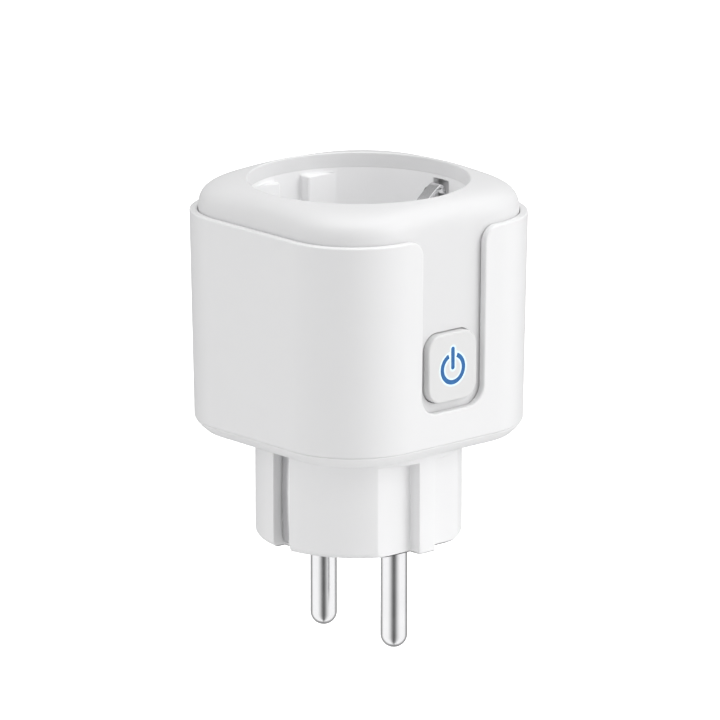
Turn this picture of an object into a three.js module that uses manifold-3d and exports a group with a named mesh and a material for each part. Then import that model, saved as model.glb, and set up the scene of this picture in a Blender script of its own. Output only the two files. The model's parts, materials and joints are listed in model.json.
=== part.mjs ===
// Plug-through smart socket adapter: a round two-pin earthed plug below, a round earthed socket well above,
// a white sleeve round the housing, and a power button in a channel on the front face.
// Millimetres, +Z up. The origin is the centre of the plug's end face, between the two pins.
// The front face, with the button, faces -Y. The pins stand on the Y axis, the earth contacts on the X axis.
import * as THREE from "three";
import { mergeVertices } from "three/addons/utils/BufferGeometryUtils.js";
import Module from "manifold-3d";

// ---- Driving dimensions ----
const GAP = 0.3; // clearance between neighbouring pieces
const PIN_RADIUS = 2.4;
const PIN_LENGTH = 19.4; // below the plug's end face
const PIN_SPACING = 19;
const NOSE_RADIUS = 18.5; // round plug body that enters a wall socket
const NOSE_FLAT = 15.9; // distance of the guide flats from the centre
const NOSE_RIB_HALF = 1.9; // guide rib between the two flats of one side
const NOSE_CAVITY = 14.2;
const NOSE_WALL = 3; // thickness of the end wall that holds the pins
const EARTH_RECESS_HALF = 2.1;
const EARTH_RECESS_FLOOR = 15.7;
const NOSE_FLAT_TOP_Z = 16.7; // the guide flats end here, below a full round collar
const SHOULDER_Z = 19.3; // flat underside of the housing, which meets the wall socket's cover
const SLEEVE_BOTTOM_Z = 21.5;
const SLEEVE_TOP_Z = 59.5;
const CREST_RISE = 0.6; // the cap rises this much more towards its mouth
const RIM_Z = 65.1; // highest ring of the cap
const SLEEVE_TOP_HALF = 25.5; // the sleeve tapers by half a millimetre a side towards the plug
const SLEEVE_BOTTOM_HALF = 25;
const CORNER_RADIUS = 14.5;
const SLEEVE_WALL = 1.25;
const HOUSING_TOP_HALF = SLEEVE_TOP_HALF - SLEEVE_WALL - GAP;
const HOUSING_BOTTOM_HALF = SLEEVE_BOTTOM_HALF - SLEEVE_WALL - GAP;
const HOUSING_CORNER = 13;
const HOUSING_WALL = 2;
const MOUTH_RADIUS = 20; // opening of the socket well at the rim
const WELL_RADIUS = 19.7;
const WELL_OUTER = 21;
const WELL_FLOOR_Z = 47.5;
const WELL_FLOOR_THICK = 2.4;
const WELL_TOP_Z = 62.1;
const GUIDE_TOP_Z = 61.6;
const GUIDE_FLAT = 17.2; // distance of the socket's guide flats from the centre
const GUIDE_GAP_HALF = 3.3;
const PIN_HOLE_RADIUS = 3.1;
const EARTH_HOLE = { x: 10, radius: 3.2 }; // takes the earth pin of a pin-earth wall socket
const CHANNEL_HALF = 7.3; // button channel in the sleeve
const CHANNEL_BOTTOM_Z = 27.5;
const CHANNEL_BOTTOM_RADIUS = 3.5;
const CHANNEL_MOUTH_RADIUS = 3;
const BUTTON = { halfX: 5.7, halfZ: 6.2, radius: 3, z: 35.4, face: -25 };
const BUTTON_FLANGE = { extra: 0.9, front: -21.4, back: -20.45 };
const PLUNGER_FRONT = -20.3;
const ICON = { z: 35.1, radius: 2.5, half: 0.4, gapHalf: 0.95, barTop: 3.95, barBottom: -0.2 };
const BOARD = { half: 21, radius: 10, bottom: 25.6, top: 27.2 };
const PART_Z = BOARD.top + GAP; // where the parts on the main board start
const SCREW_PLACE = 15.5;

const ARC_STEPS = 7; // segments in each rounded corner
const FLAT_STEPS = 6; // segments along each flat side
const ROUND_STEPS = 36; // segments round a full circle

const wasm = await Module();
wasm.setup();

// ---- Solid helpers ----
function solid(geometry) {
  const bare = new THREE.BufferGeometry().setAttribute("position", geometry.getAttribute("position"));
  if (geometry.index) bare.setIndex(geometry.index);
  const merged = mergeVertices(bare, 1e-4);
  const mesh = new wasm.Mesh({
    numProp: 3,
    vertProperties: new Float32Array(merged.attributes.position.array),
    triVerts: new Uint32Array(merged.index.array),
  });
  return new wasm.Manifold(mesh);
}

function geometryOf(manifold) {
  const mesh = manifold.getMesh();
  const geometry = new THREE.BufferGeometry();
  geometry.setAttribute("position", new THREE.BufferAttribute(new Float32Array(mesh.vertProperties), 3));
  geometry.setIndex(new THREE.BufferAttribute(new Uint32Array(mesh.triVerts), 1));
  geometry.computeVertexNormals();
  return geometry;
}

const join = (...solids) => solids.reduce((a, b) => a.add(b));
const cut = (body, ...tools) => tools.reduce((a, b) => a.subtract(b), body);

function block(x0, x1, y0, y1, z0, z1) {
  const geometry = new THREE.BoxGeometry(x1 - x0, y1 - y0, z1 - z0);
  return solid(geometry.translate((x0 + x1) / 2, (y0 + y1) / 2, (z0 + z1) / 2));
}

// A solid of revolution about a vertical axis through (x, y). The profile lists [radius, z] from low to high.
function turned(profile, x = 0, y = 0, steps = ROUND_STEPS) {
  const points = profile.map(([r, z]) => new THREE.Vector2(r, z));
  return solid(new THREE.LatheGeometry(points, steps).rotateX(Math.PI / 2).translate(x, y, 0));
}

function rod(radius, x, y, z0, z1, steps = ROUND_STEPS) {
  return turned([[0, z0], [radius, z0], [radius, z1], [0, z1]], x, y, steps);
}

// A rod along Y, centred on (x, z).
function rodAlongY(radius, x, z, y0, y1, steps = 24) {
  const geometry = new THREE.CylinderGeometry(radius, radius, y1 - y0, steps);
  return solid(geometry.translate(x, (y0 + y1) / 2, z));
}

function roundedRectangle(halfX, halfY, radius, x = 0, y = 0) {
  const shape = new THREE.Shape();
  const [cx, cy] = [halfX - radius, halfY - radius];
  shape.absarc(x + cx, y + cy, radius, 0, Math.PI / 2);
  shape.absarc(x - cx, y + cy, radius, Math.PI / 2, Math.PI);
  shape.absarc(x - cx, y - cy, radius, Math.PI, 1.5 * Math.PI);
  shape.absarc(x + cx, y - cy, radius, 1.5 * Math.PI, 2 * Math.PI);
  return shape;
}

function outlineOf(points) {
  return new THREE.Shape(points.map(([x, y]) => new THREE.Vector2(x, y)));
}

function extrudedUp(shape, z0, z1, curveSegments = ARC_STEPS) {
  const geometry = new THREE.ExtrudeGeometry(shape, { depth: z1 - z0, bevelEnabled: false, curveSegments });
  return solid(geometry.translate(0, 0, z0));
}

// Extrudes an outline drawn in X and Z along Y.
function extrudedAlongY(shape, y0, y1, curveSegments = ARC_STEPS) {
  const geometry = new THREE.ExtrudeGeometry(shape, { depth: y1 - y0, bevelEnabled: false, curveSegments });
  return solid(geometry.rotateX(Math.PI / 2).translate(0, y1, 0));
}

// A strip of constant thickness along a path of [x, z] points, as an outline in X and Z.
function stripOutline(path, thickness) {
  const points = path.map(([x, z]) => new THREE.Vector2(x, z));
  const offset = points.map((point, i) => {
    const before = points[Math.max(i - 1, 0)];
    const after = points[Math.min(i + 1, points.length - 1)];
    const along = after.clone().sub(before).normalize();
    return new THREE.Vector2(-along.y, along.x).multiplyScalar(thickness / 2);
  });
  const left = points.map((point, i) => point.clone().add(offset[i]));
  const right = points.map((point, i) => point.clone().sub(offset[i]));
  return new THREE.Shape([...right, ...left.reverse()]);
}

// ---- Rings and lofts for the rounded-square shells ----
// Points of a rounded square, the same number on every ring, so that rings can be joined.
function squareRing(half, radius, z) {
  const inner = half - radius;
  const ring = [];
  for (let corner = 0; corner < 4; corner++) {
    const turn = (corner * Math.PI) / 2;
    const add = (x, y) => ring.push(new THREE.Vector3(x, y, z).applyAxisAngle(new THREE.Vector3(0, 0, 1), turn));
    for (let i = 0; i < FLAT_STEPS; i++) add(half, -inner + (2 * inner * i) / FLAT_STEPS);
    for (let i = 0; i < ARC_STEPS; i++) {
      const angle = (i / ARC_STEPS) * (Math.PI / 2);
      add(inner + radius * Math.cos(angle), inner + radius * Math.sin(angle));
    }
  }
  return ring;
}

// A circle whose points lie at the same angles as those of another ring.
function circleRing(radius, z, like) {
  return like.map((point) => {
    const angle = Math.atan2(point.y, point.x);
    return new THREE.Vector3(radius * Math.cos(angle), radius * Math.sin(angle), z);
  });
}

// Joins rings into a closed skin. An open loft is capped at both ends; a closed one returns to its first ring.
function loft(rings, closed) {
  const count = rings[0].length;
  const positions = rings.flat().flatMap((point) => [point.x, point.y, point.z]);
  const index = [];
  const last = closed ? rings.length : rings.length - 1;
  for (let k = 0; k < last; k++) {
    const next = (k + 1) % rings.length;
    for (let i = 0; i < count; i++) {
      const j = (i + 1) % count;
      const [a, b, c, d] = [k * count + i, k * count + j, next * count + j, next * count + i];
      index.push(a, b, c, a, c, d);
    }
  }
  if (!closed) {
    const top = (rings.length - 1) * count;
    for (let i = 1; i < count - 1; i++) {
      index.push(0, i + 1, i);
      index.push(top, top + i, top + i + 1);
    }
  }
  const geometry = new THREE.BufferGeometry();
  geometry.setAttribute("position", new THREE.BufferAttribute(new Float32Array(positions), 3));
  geometry.setIndex(index);
  return solid(geometry);
}

// ---- Materials ----
const plastic = (color, roughness) => new THREE.MeshStandardMaterial({ color, roughness, metalness: 0 });
const metal = (color, roughness) => new THREE.MeshStandardMaterial({ color, roughness, metalness: 1 });
const sleeveWhite = plastic(0xf4f4f4, 0.25);
const housingWhite = plastic(0xededed, 0.45);
const buttonWhite = plastic(0xefefee, 0.35);
const iconBlue = plastic(0x1f6fc4, 0.3);
const nickel = metal(0xc8c8c8, 0.25);
const bronze = metal(0xc79a5b, 0.35);
const boardGreen = plastic(0x1d6b3a, 0.5);
const partBlack = plastic(0x1c1c1e, 0.5);
const partBlue = plastic(0x2456a8, 0.45);
const canSilver = metal(0xb9bcc0, 0.35);
const ledClear = plastic(0xf5f0d8, 0.2);

const group = new THREE.Group();
function place(name, manifold, material) {
  const mesh = new THREE.Mesh(geometryOf(manifold), material);
  mesh.name = name;
  group.add(mesh);
}

// ---- Shells ----
// Sleeve with a channel that is open at the top, with flared corners at its mouth and round ones below.
function channelOutline() {
  const shape = new THREE.Shape();
  const [half, low, high] = [CHANNEL_HALF, CHANNEL_BOTTOM_Z, SLEEVE_TOP_Z];
  const [foot, flare] = [CHANNEL_BOTTOM_RADIUS, CHANNEL_MOUTH_RADIUS];
  const above = high + 2;
  shape.moveTo(half + flare, above);
  shape.lineTo(-half - flare, above);
  shape.lineTo(-half - flare, high);
  shape.absarc(-half - flare, high - flare, flare, Math.PI / 2, 0, true);
  shape.absarc(-half + foot, low + foot, foot, Math.PI, 1.5 * Math.PI);
  shape.absarc(half - foot, low + foot, foot, 1.5 * Math.PI, 2 * Math.PI);
  shape.absarc(half + flare, high - flare, flare, Math.PI, Math.PI / 2, true);
  return shape;
}

function outerSleeve() {
  const edge = 0.8; // rounding of the lower outer edge
  const shell = loft([
    squareRing(SLEEVE_BOTTOM_HALF - edge, CORNER_RADIUS - edge, SLEEVE_BOTTOM_Z),
    squareRing(SLEEVE_BOTTOM_HALF, CORNER_RADIUS, SLEEVE_BOTTOM_Z + edge),
    squareRing(SLEEVE_TOP_HALF, CORNER_RADIUS, SLEEVE_TOP_Z),
    squareRing(SLEEVE_TOP_HALF - SLEEVE_WALL, CORNER_RADIUS - SLEEVE_WALL, SLEEVE_TOP_Z),
    squareRing(SLEEVE_BOTTOM_HALF - SLEEVE_WALL, CORNER_RADIUS - SLEEVE_WALL, SLEEVE_BOTTOM_Z),
  ], true);
  return cut(shell, extrudedAlongY(channelOutline(), -30, -20));
}

// Housing: side walls that taper with the sleeve, and a cap that rolls from the round mouth to the square side.
function socketHousing() {
  const capSteps = 7;
  const fullness = 2 / 3; // exponent that makes the roll fuller than a quarter ellipse
  const roll = RIM_Z - SLEEVE_TOP_Z - CREST_RISE;
  const lipZ = WELL_TOP_Z + GAP;
  const side = squareRing(HOUSING_TOP_HALF, HOUSING_CORNER, SLEEVE_TOP_Z);
  const mouth = circleRing(MOUTH_RADIUS, RIM_Z, side);
  const cap = [];
  for (let i = 0; i <= capSteps; i++) {
    const angle = (i / capSteps) * (Math.PI / 2);
    const outward = Math.pow(Math.cos(angle), fullness);
    const upward = Math.pow(Math.sin(angle), fullness);
    cap.push(side.map((point, k) => {
      const ringPoint = mouth[k].clone().lerp(point, outward);
      ringPoint.z = SLEEVE_TOP_Z + roll * upward + CREST_RISE * Math.pow(1 - outward, 1.6);
      return ringPoint;
    }));
  }
  const ceiling = squareRing(HOUSING_TOP_HALF - HOUSING_WALL, HOUSING_CORNER - HOUSING_WALL, lipZ - 1.2);
  const foot = SLEEVE_BOTTOM_Z;
  const shell = loft([
    squareRing(HOUSING_BOTTOM_HALF, HOUSING_CORNER, foot),
    ...cap,
    circleRing(WELL_RADIUS, RIM_Z - 0.5, side),
    circleRing(WELL_RADIUS, lipZ, side),
    circleRing(WELL_OUTER + GAP, lipZ, side),
    ceiling,
    squareRing(HOUSING_BOTTOM_HALF - HOUSING_WALL, HOUSING_CORNER - HOUSING_WALL, foot),
  ], true);
  const aperture = roundedRectangle(BUTTON.halfX + GAP, BUTTON.halfZ + GAP, BUTTON.radius + GAP, 0, BUTTON.z);
  return cut(shell, extrudedAlongY(aperture, -26, -19));
}

// Socket well: a cup with two pin holes, two pairs of guide flats, and a slot for each earth clip.
function socketWell() {
  const underside = WELL_FLOOR_Z - WELL_FLOOR_THICK;
  const cup = turned([
    [0, underside],
    [WELL_OUTER, underside],
    [WELL_OUTER, WELL_TOP_Z],
    [WELL_RADIUS, WELL_TOP_Z],
    [WELL_RADIUS, WELL_FLOOR_Z],
    [0, WELL_FLOOR_Z],
  ], 0, 0, 48);
  const guideDisc = rod((WELL_RADIUS + WELL_OUTER) / 2, 0, 0, WELL_FLOOR_Z - 1, GUIDE_TOP_Z, 48);
  const guides = [-1, 1].map((side) => {
    const [y0, y1] = [side * GUIDE_FLAT, side * 25].sort((a, b) => a - b);
    const band = block(-25, 25, y0, y1, WELL_FLOOR_Z - 1, GUIDE_TOP_Z);
    return cut(guideDisc.intersect(band), block(-GUIDE_GAP_HALF, GUIDE_GAP_HALF, -25, 25, 0, 99));
  });
  const holes = [-1, 1].map((side) => rod(PIN_HOLE_RADIUS, 0, (side * PIN_SPACING) / 2, underside - 1, 60));
  const slots = [-1, 1].map((side) => {
    const [x0, x1] = [side * 17, side * 23].sort((a, b) => a - b);
    return block(x0, x1, -2, 2, underside - 1, GUIDE_TOP_Z);
  });
  return cut(join(cup, ...guides), ...holes, ...slots);
}

// Plug base: the housing's underside with its rolled edge, the round nose, and the two bosses for the board.
function plugBase() {
  const flangeTop = SLEEVE_BOTTOM_Z - GAP;
  const plate = loft([
    squareRing(SLEEVE_BOTTOM_HALF - 2.3, CORNER_RADIUS - 2.3, SHOULDER_Z),
    squareRing(SLEEVE_BOTTOM_HALF - 0.9, CORNER_RADIUS - 0.9, SHOULDER_Z + 0.9),
    squareRing(SLEEVE_BOTTOM_HALF - 0.45, CORNER_RADIUS - 0.45, flangeTop - 0.4),
    squareRing(SLEEVE_BOTTOM_HALF - 0.45, CORNER_RADIUS - 0.45, flangeTop),
  ], false);
  const edge = 1.2; // rounding of the nose's lower edge
  const round = turned([
    [0, 0],
    [NOSE_RADIUS - edge, 0],
    [NOSE_RADIUS - 0.35 * edge, 0.35 * edge],
    [NOSE_RADIUS, edge],
    [NOSE_RADIUS, SHOULDER_Z + 0.5],
    [0, SHOULDER_Z + 0.5],
  ], 0, 0, 48);
  const grooves = [-1, 1].map((side) => {
    const [y0, y1] = [side * NOSE_FLAT, side * 25].sort((a, b) => a - b);
    return cut(block(-25, 25, y0, y1, -1, NOSE_FLAT_TOP_Z), block(-NOSE_RIB_HALF, NOSE_RIB_HALF, -30, 30, -2, 99));
  });
  const recesses = [-1, 1].map((side) => {
    const recess = (outer, top) => {
      const [x0, x1] = [side * EARTH_RECESS_FLOOR, side * outer].sort((a, b) => a - b);
      return block(x0, x1, -EARTH_RECESS_HALF, EARTH_RECESS_HALF, -1, top);
    };
    return join(recess(NOSE_RADIUS + 1, SHOULDER_Z), recess(EARTH_RECESS_FLOOR + 1.5, flangeTop + 1));
  });
  const cavity = rod(NOSE_CAVITY, 0, 0, NOSE_WALL, flangeTop + 1);
  const pinHoles = [-1, 1].map((side) => rod(PIN_RADIUS + 0.1, 0, (side * PIN_SPACING) / 2, -1, NOSE_WALL + 1));
  const earthHole = rod(EARTH_HOLE.radius, EARTH_HOLE.x, 0, -1, NOSE_WALL + 1);
  const shell = cut(join(plate, cut(round, ...grooves)), cavity, ...recesses, ...pinHoles, earthHole);
  const bosses = [-1, 1].map((side) => {
    const at = side * SCREW_PLACE;
    return cut(rod(2.6, at, at, flangeTop - 1, BOARD.bottom - GAP, 20), rod(1.25, at, at, flangeTop - 0.5, 30, 16));
  });
  return join(shell, ...bosses);
}

place("outer_sleeve", outerSleeve(), sleeveWhite);
place("socket_housing", socketHousing(), housingWhite);
place("socket_well", socketWell(), housingWhite);
place("plug_base", plugBase(), housingWhite);

// ---- Plug pins, earth contacts and socket contacts ----
// Pin: a round-nosed rod, a collar behind the end wall, and a stem up to the board.
function plugPin(y) {
  const profile = [];
  const noseSteps = 6;
  for (let i = 0; i <= noseSteps; i++) {
    const angle = (i / noseSteps) * (Math.PI / 2);
    const z = -PIN_LENGTH + PIN_RADIUS * (1 - Math.cos(angle));
    profile.push([PIN_RADIUS * Math.sin(angle), z]);
  }
  const collarZ = NOSE_WALL + GAP;
  profile.push([PIN_RADIUS, collarZ], [3.2, collarZ], [3.2, collarZ + 1.7], [1.5, collarZ + 1.7]);
  profile.push([1.5, BOARD.bottom - GAP], [0, BOARD.bottom - GAP]);
  return turned(profile, 0, y, 24);
}

// Plug earth contact: a strip that bows slightly outwards in the recess and rises into the housing.
function plugEarthContact(side) {
  const path = [[15.95, 0.7], [16.15, 2], [16.3, 5], [16.35, 9], [16.3, 13], [16.2, 17], [16.2, 23.3]];
  return extrudedAlongY(stripOutline(path.map(([x, z]) => [side * x, z]), 0.45), -1.8, 1.8);
}

// Socket earth clip: rises from the strap behind the well's wall, bends in to its contact ridge and hooks back.
const CLIP_ROOT_X = 20.3;
function socketEarthClip(side) {
  const path = [
    [CLIP_ROOT_X, 42.6], [CLIP_ROOT_X, 47.6], [17.4, 53], [15, 56.9],
    [15.2, 58.2], [18.1, 60.5], [19, 60.5], [19.5, 59.4],
  ];
  return extrudedAlongY(stripOutline(path.map(([x, z]) => [side * x, z]), 0.7), -1.3, 1.3);
}

// Two spring leaves either side of a pin, joined by a web: U-shaped seen from above, open towards `open`.
function leafClip(x, y, open, length, gapHalf, z0, z1) {
  const [near, far] = [-length / 2, length / 2];
  const leaf = 0.6;
  const shape = outlineOf([
    [far, gapHalf], [far, gapHalf + leaf], [near - leaf, gapHalf + leaf],
    [near - leaf, -gapHalf - leaf], [far, -gapHalf - leaf], [far, -gapHalf],
    [near, -gapHalf], [near, gapHalf],
  ]);
  const geometry = new THREE.ExtrudeGeometry(shape, { depth: z1 - z0, bevelEnabled: false });
  return solid(geometry.rotateZ(open).translate(x, y, z0));
}

const pinY = PIN_SPACING / 2;
place("line_pin", plugPin(-pinY), nickel);
place("neutral_pin", plugPin(pinY), nickel);
place("line_contact", leafClip(0, -pinY, Math.PI / 2, 5.6, PIN_RADIUS, 28.5, 44), bronze);
place("neutral_contact", leafClip(0, pinY, -Math.PI / 2, 5.6, PIN_RADIUS, 28.5, 44), bronze);
for (const [name, side] of [["left", -1], ["right", 1]]) {
  place(`plug_earth_contact_${name}`, plugEarthContact(side), nickel);
  place(`socket_earth_clip_${name}`, socketEarthClip(side), nickel);
}
place("earth_pin_clip", leafClip(EARTH_HOLE.x, 0, Math.PI, 5.6, 2.5, 4, 16), bronze);

// Strap under the well's floor with one leg down through the board, and the bridge in the base that it meets.
const strapTop = WELL_FLOOR_Z - WELL_FLOOR_THICK - GAP;
const strapEnd = CLIP_ROOT_X - 0.7;
const strapLeg = { x0: 4.2, x1: 4.9 };
place("earth_strap", join(
  block(-strapEnd, strapEnd, -1.6, 1.6, strapTop - 0.7, strapTop),
  block(strapLeg.x0, strapLeg.x1, -1.6, 1.6, 23.6, strapTop - 0.3),
), bronze);
place("earth_bridge", block(-15.7, 15.7, -1.6, 1.6, 22.6, 23.3), bronze);

// ---- Main board and its parts ----
function mainBoard() {
  const sheet = extrudedUp(roundedRectangle(BOARD.half, BOARD.half, BOARD.radius), BOARD.bottom, BOARD.top);
  const legSlot = block(strapLeg.x0 - 0.4, strapLeg.x1 + 0.4, -2, 2, 20, 30);
  const screwHoles = [-1, 1].map((side) => rod(1.5, side * SCREW_PLACE, side * SCREW_PLACE, 20, 30, 16));
  return cut(sheet, legSlot, ...screwHoles);
}

// Pan-head self-tapping screw with a cross slot.
function boardScrew(at) {
  const profile = [[0, 22.4], [1.05, 23.2], [1.05, PART_Z], [2.2, PART_Z], [2.1, 28.6], [1.2, 29.1], [0, 29.1]];
  const head = turned(profile, at, at, 20);
  const slot = 0.25;
  return cut(
    head,
    block(at - 1.2, at + 1.2, at - slot, at + slot, 28.5, 30),
    block(at - slot, at + slot, at - 1.2, at + 1.2, 28.5, 30),
  );
}

function relay() {
  const can = extrudedUp(roundedRectangle(5.2, 9.1, 0.6, -14.2, 0), PART_Z, 42.4, 2);
  return cut(can, rod(0.6, -17, 6.5, 41.8, 44, 12));
}

function supplyCapacitor() {
  return turned([
    [0, PART_Z], [3.8, PART_Z], [3.8, 28.6], [3.5, 29], [3.8, 29.4], [3.8, 39], [3.4, 39.5], [0, 39.3],
  ], 10.4, -7, 24);
}

// Transformer: a wound bobbin between two cores.
function transformer() {
  const core = block(6, 15, 6, 10, PART_Z, 38);
  const bobbin = block(7.2, 13.8, 3.4, 12.6, PART_Z + 1, 36.8);
  return join(core, bobbin);
}

function shuntResistor() {
  const path = [[4, PART_Z], [4, 30.6], [5, 31.4], [11, 31.4], [12, 30.6], [12, PART_Z]];
  return extrudedAlongY(stripOutline(path, 0.8), 15.8, 17.4);
}

function fuse() {
  const body = new THREE.CapsuleGeometry(1.7, 4.6, 4, 16).rotateZ(Math.PI / 2).translate(-14, 15.2, PART_Z + 1.8);
  return solid(body);
}

place("main_board", mainBoard(), boardGreen);
place("board_screw_front", boardScrew(-SCREW_PLACE), canSilver);
place("board_screw_back", boardScrew(SCREW_PLACE), canSilver);
place("relay", relay(), partBlack);
place("supply_capacitor", supplyCapacitor(), partBlack);
place("transformer", transformer(), partBlack);
place("varistor", rodAlongY(4.2, -2, PART_Z + 4.4, 14.9, 17.9), partBlue);
place("fuse", fuse(), partBlack);
place("shunt_resistor", shuntResistor(), bronze);
place("rectifier", block(10, 14.6, -16.4, -12.6, PART_Z, 29.6), partBlack);
place("metering_chip", block(-13, -8.6, -13.8, -10.2, PART_Z, 29), partBlack);
place("wireless_module", block(18.8, 19.6, -9.5, 9.5, PART_Z, 43), boardGreen);
place("wireless_shield", block(16.5, 18.5, -7.5, 5, 29, 40), canSilver);

// ---- Button and switch ----
// Outline of the open ring of the power symbol, in X and Z, grown by a clearance.
function ringOutline(clearance) {
  const [outer, inner] = [ICON.radius + ICON.half + clearance, ICON.radius - ICON.half - clearance];
  const opening = Math.asin((ICON.gapHalf - clearance) / ICON.radius);
  const [from, to] = [Math.PI / 2 + opening, 2.5 * Math.PI - opening];
  const shape = new THREE.Shape();
  shape.absarc(0, ICON.z, outer, from, to);
  shape.absarc(0, ICON.z, inner, to, from, true);
  return shape;
}

// The ring and the bar of the symbol as solids between two depths.
function iconStrokes(clearance, y0, y1) {
  const bar = roundedRectangle(
    ICON.half + clearance,
    (ICON.barTop - ICON.barBottom) / 2 + clearance,
    ICON.half + clearance - 0.01,
    0,
    ICON.z + (ICON.barTop + ICON.barBottom) / 2,
  );
  return [extrudedAlongY(ringOutline(clearance), y0, y1, 14), extrudedAlongY(bar, y0, y1, 4)];
}

const FACE_WALL = 1; // thickness of the button's face
function buttonCap() {
  const { extra, front, back } = BUTTON_FLANGE;
  const edge = 0.5; // bevel of the face's edge
  const grown = (by) => roundedRectangle(BUTTON.halfX + by, BUTTON.halfZ + by, BUTTON.radius + by, 0, BUTTON.z);
  const face = extrudedAlongY(grown(-edge), BUTTON.face, front);
  const body = extrudedAlongY(grown(0), BUTTON.face + edge, front + 0.1);
  const flange = extrudedAlongY(grown(extra), front, back);
  const pocket = rodAlongY(4.3, 0, BUTTON.z, BUTTON.face + FACE_WALL, back + 1);
  return cut(join(face, body, flange), pocket, ...iconStrokes(0.1, BUTTON.face - 1, BUTTON.face + FACE_WALL + 0.5));
}

// Light guide behind the face: its strokes fill the symbol's slots, and its post presses the switch's plunger.
function iconLightGuide() {
  const front = BUTTON.face + FACE_WALL + 0.2;
  const post = rodAlongY(1.2, 0, BUTTON.z, front + 0.5, PLUNGER_FRONT - 0.1, 20);
  return join(rodAlongY(4, 0, BUTTON.z, front, front + 1), post, ...iconStrokes(0, BUTTON.face, front + 0.5));
}

function tactSwitch() {
  return cut(block(-3, 3, -19.4, -16.2, 32.4, 38.4), rodAlongY(1.9, 0, BUTTON.z, -20, -16.9, 20));
}

place("button_cap", buttonCap(), buttonWhite);
place("icon_light_guide", iconLightGuide(), iconBlue);
place("switch_plunger", rodAlongY(1.6, 0, BUTTON.z, PLUNGER_FRONT, -17.6, 20), partBlack);
place("tact_switch", tactSwitch(), canSilver);
place("button_board", block(-8, 8, -15.9, -14.9, PART_Z, 43), boardGreen);
place("status_led", block(4.6, 6.2, -17.3, -16.2, 34.6, 36.2), ledClear);

export default group;
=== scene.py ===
# Visual model of a smart plug adapter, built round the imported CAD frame.
# Lengths in the dimensions below are millimetres in the frame's axes; meshes are made in metres.
# The plug points down, the socket well opens upwards, and the button faces -Y.
import json
import math

import bmesh
import bpy
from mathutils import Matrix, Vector


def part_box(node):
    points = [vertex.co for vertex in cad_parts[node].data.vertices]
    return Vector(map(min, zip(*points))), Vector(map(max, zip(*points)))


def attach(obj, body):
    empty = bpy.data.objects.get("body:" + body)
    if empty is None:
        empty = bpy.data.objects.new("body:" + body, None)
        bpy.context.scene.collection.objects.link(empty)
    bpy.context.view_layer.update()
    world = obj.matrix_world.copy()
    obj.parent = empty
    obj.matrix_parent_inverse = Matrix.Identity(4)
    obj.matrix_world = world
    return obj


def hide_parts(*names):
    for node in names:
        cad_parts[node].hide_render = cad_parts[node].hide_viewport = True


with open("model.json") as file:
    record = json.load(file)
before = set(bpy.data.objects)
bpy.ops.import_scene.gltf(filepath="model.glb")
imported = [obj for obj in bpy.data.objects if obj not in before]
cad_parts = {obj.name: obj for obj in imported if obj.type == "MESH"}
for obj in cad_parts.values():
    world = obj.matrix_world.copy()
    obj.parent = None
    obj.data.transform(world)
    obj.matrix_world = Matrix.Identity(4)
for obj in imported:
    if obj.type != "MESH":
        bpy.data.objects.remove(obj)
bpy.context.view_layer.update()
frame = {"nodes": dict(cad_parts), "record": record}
MM = 0.001


def box_mm(node):
    low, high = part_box(node)
    return Vector(low) / MM, Vector(high) / MM


# ---- Dimensions taken from the frame ----
sleeve_low, sleeve_high = box_mm("outer_sleeve")
_, housing_high = box_mm("socket_housing")
well_low, well_high = box_mm("socket_well")
_, base_high = box_mm("plug_base")
pin_low, pin_high = box_mm("line_pin")
button_low, button_high = box_mm("button_cap")

SLEEVE_BOTTOM_Z = sleeve_low.z
SLEEVE_TOP_Z = sleeve_high.z
SLEEVE_TOP_HALF = sleeve_high.x
RIM_Z = housing_high.z
HOUSING_TOP_HALF = housing_high.x
WELL_UNDERSIDE_Z = well_low.z
WELL_OUTER = well_high.x
FLANGE_TOP_Z = SLEEVE_BOTTOM_Z - 0.3
PIN_TIP_Z = pin_low.z
BUTTON_FACE_Y = button_low.y
BUTTON_BACK_Y = button_high.y

# ---- Driving dimensions of the details ----
OUTSIDE_Y = -30  # in front of everything: cuts made from the front start here
BEHIND_SLEEVE_Y = -20
BEHIND_HOUSING_Y = -19
TAPER = 0.5  # the sleeve and the housing narrow by this much a side towards the plug
CORNER_RADIUS = 14.5
SLEEVE_WALL = 1.45
SLEEVE_EDGE = 0.2  # rounding of the sleeve's bottom edge
HOUSING_CORNER = 13
HOUSING_WALL = 2
CREST_RISE = 0.6  # the cap rises this much more towards its mouth
CAP_FULLNESS = 2 / 3  # below 1 the cap bulges past a true quarter circle
CREST_SHARPNESS = 1.6
LIP_DROP = 1.2  # the housing's ceiling slopes down by this much from the well's lip
MOUTH_RADIUS = 20
WELL_RADIUS = 19.7
WELL_FLOOR_Z = 47.5
WELL_LIP_Z = 62.4  # underside of the housing's lip over the well
GUIDE_TOP_Z = 61.6
GUIDE_FLAT = 17.2
GUIDE_GAP_HALF = 3.3
GUIDE_ROUNDING = 0.5
CLIP_SLOT_HALF = 2
CLIP_SLOT_INNER = 17
CLIP_SLOT_OUTER = 23
SEAM = 0.02  # between pieces that touch in the real object
PIN_HOLE_RADIUS = 3.1
CHANNEL_HALF = 7.3
CHANNEL_BOTTOM_Z = 27.5
CHANNEL_BOTTOM_RADIUS = 3.5
CHANNEL_MOUTH_RADIUS = 3
BUTTON_HALF_X = 5.7
BUTTON_HALF_Z = 6.2
BUTTON_RADIUS = 3
BUTTON_Z = 35.4
BUTTON_FLANGE_Y = -21.4
BUTTON_FLANGE = 0.9  # the flange stands out this much behind the aperture
BUTTON_EDGE = 0.35
BUTTON_GAP = 0.14  # between the button and its aperture
BUTTON_POCKET_RADIUS = 4.3
ICON_Z = 35.1
ICON_RADIUS = 2.5
ICON_HALF = 0.4
ICON_GAP_HALF = 0.95
ICON_BAR_TOP = 3.95
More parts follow.
